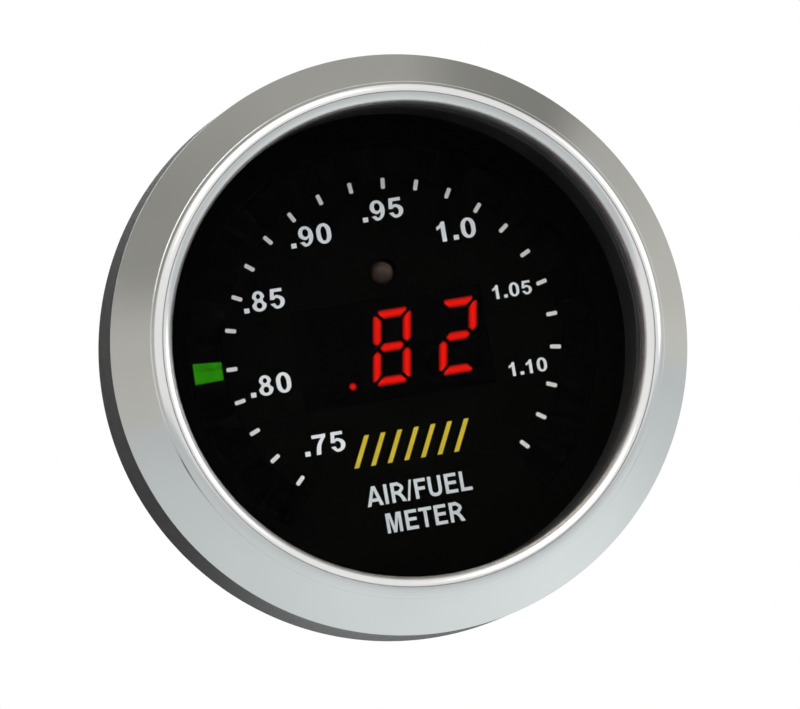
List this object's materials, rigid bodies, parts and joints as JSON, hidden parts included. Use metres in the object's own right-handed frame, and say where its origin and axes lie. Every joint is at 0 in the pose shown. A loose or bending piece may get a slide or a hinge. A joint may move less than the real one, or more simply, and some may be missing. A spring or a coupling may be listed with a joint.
{
  "type": "air fuel ratio gauge",
  "caption": "Round dash gauge: silver bezel, dark dial with scale, lit digits and a ring of indicator lights, black case, rear sockets and clamping bracket.",
  "frame": {"origin": "on the gauge's axis at the bezel's back face, where it meets the dash panel", "axes": "the dial looks along -Y, +Z is its twelve o'clock, +X is the driver's right, +Y runs into the dash"},
  "size_m": [0.06, 0.066, 0.06],
  "materials": {
    "satin_silver_bezel": "machined and satin clear anodised",
    "clear_lens": "clear moulded acrylic",
    "black_ring_rubber": "moulded ring",
    "black_shroud": "fine moulded texture",
    "dial_black": "matte screen printed",
    "dial_print": "white screen print",
    "smoked_plastic": "smoked translucent",
    "light_pipe": "clear diffusing",
    "green_light": "lit green",
    "red_light": "lit red",
    "lamp_body": "small lamp body",
    "display_housing": "moulded, dark face",
    "sensor_resin": "tinted clear resin",
    "board_laminate": "solder mask on laminate",
    "brass_metal": "turned",
    "gold_pin": "gold plated",
    "plated_steel": "zinc plated",
    "chip_plastic": "moulded epoxy",
    "can_aluminium": "drawn can",
    "connector_plastic": "moulded nylon",
    "selector_plastic": "moulded",
    "rotor_plastic": "moulded",
    "case_plastic": "moulded with fine texture"
  },
  "bodies": {
    "case": {"shroud": "black_shroud", "dial": "dial_black", "scale_marks": "dial_print", "smoked_band": "smoked_plastic", "display_window": "smoked_plastic", "light_baffle": "black_shroud", "light_pipes": "light_pipe", "light_pipe_lit": "green_light", "indicator_lamps": "lamp_body", "display_housing": "display_housing", "segments_lit": "red_light", "segments_unlit": "light_pipe", "display_pins": "gold_pin", "light_sensor": "sensor_resin", "display_board": "board_laminate", "board_spacers": "brass_metal", "board_screws": "plated_steel", "link_socket": "connector_plastic", "link_plug": "connector_plastic", "link_pins": "gold_pin", "main_board": "board_laminate", "microcontroller": "chip_plastic", "sensor_driver": "chip_plastic", "voltage_regulator": "chip_plastic", "heater_switch": "chip_plastic", "power_capacitors": "can_aluminium", "crystal": "can_aluminium", "selector_body": "selector_plastic", "power_connector": "connector_plastic", "sensor_connector": "connector_plastic", "power_pins": "gold_pin", "sensor_pins": "gold_pin", "case": "case_plastic", "rear_cover": "case_plastic", "cover_screws": "plated_steel", "mounting_studs": "plated_steel", "stud_nuts": "plated_steel"},
    "lens_carrier": {"lens": "clear_lens", "lens_ring": "black_ring_rubber"},
    "bezel": {"bezel": "satin_silver_bezel"},
    "selector_rotor": {"selector_rotor": "rotor_plastic"},
    "mounting_bracket": {"mounting_bracket": "plated_steel", "lock_washers": "plated_steel"},
    "upper_nut": {"upper_nut": "brass_metal"},
    "lower_nut": {"lower_nut": "brass_metal"}
  },
  "joints": [
    {"name": "bezel_travel", "type": "slide", "parent": "case", "child": "lens_carrier", "axis": [0, -1, 0], "range_m": [0, 0.0045]},
    {"name": "bezel_turn", "type": "hinge", "parent": "lens_carrier", "child": "bezel", "pos_m": [0, 0, 0], "axis": [0, -1, 0], "range_deg": [0, 1080]},
    {"name": "selector_turn", "type": "hinge", "parent": "case", "child": "selector_rotor", "pos_m": [0.01303, 0.0213, 0.01066], "axis": [0, 1, 0], "range_deg": [0, 324]},
    {"name": "bracket_travel", "type": "slide", "parent": "case", "child": "mounting_bracket", "axis": [0, 1, 0], "range_m": [-0.0021, 0.0063]},
    {"name": "upper_nut_turn", "type": "hinge", "parent": "mounting_bracket", "child": "upper_nut", "pos_m": [0, 0.0381, 0.016], "axis": [0, 1, 0], "range_deg": [-1080, 3240]},
    {"name": "lower_nut_turn", "type": "hinge", "parent": "mounting_bracket", "child": "lower_nut", "pos_m": [0, 0.0381, -0.016], "axis": [0, 1, 0], "range_deg": [-1080, 3240]}
  ],
  "couplings": [
    {"joint": "bezel_travel", "follows": "bezel_turn", "m_per_rad": 0.00023873},
    {"joint": "upper_nut_turn", "follows": "bracket_travel", "rad_per_m": 8975.9},
    {"joint": "lower_nut_turn", "follows": "bracket_travel", "rad_per_m": 8975.9}
  ]
}
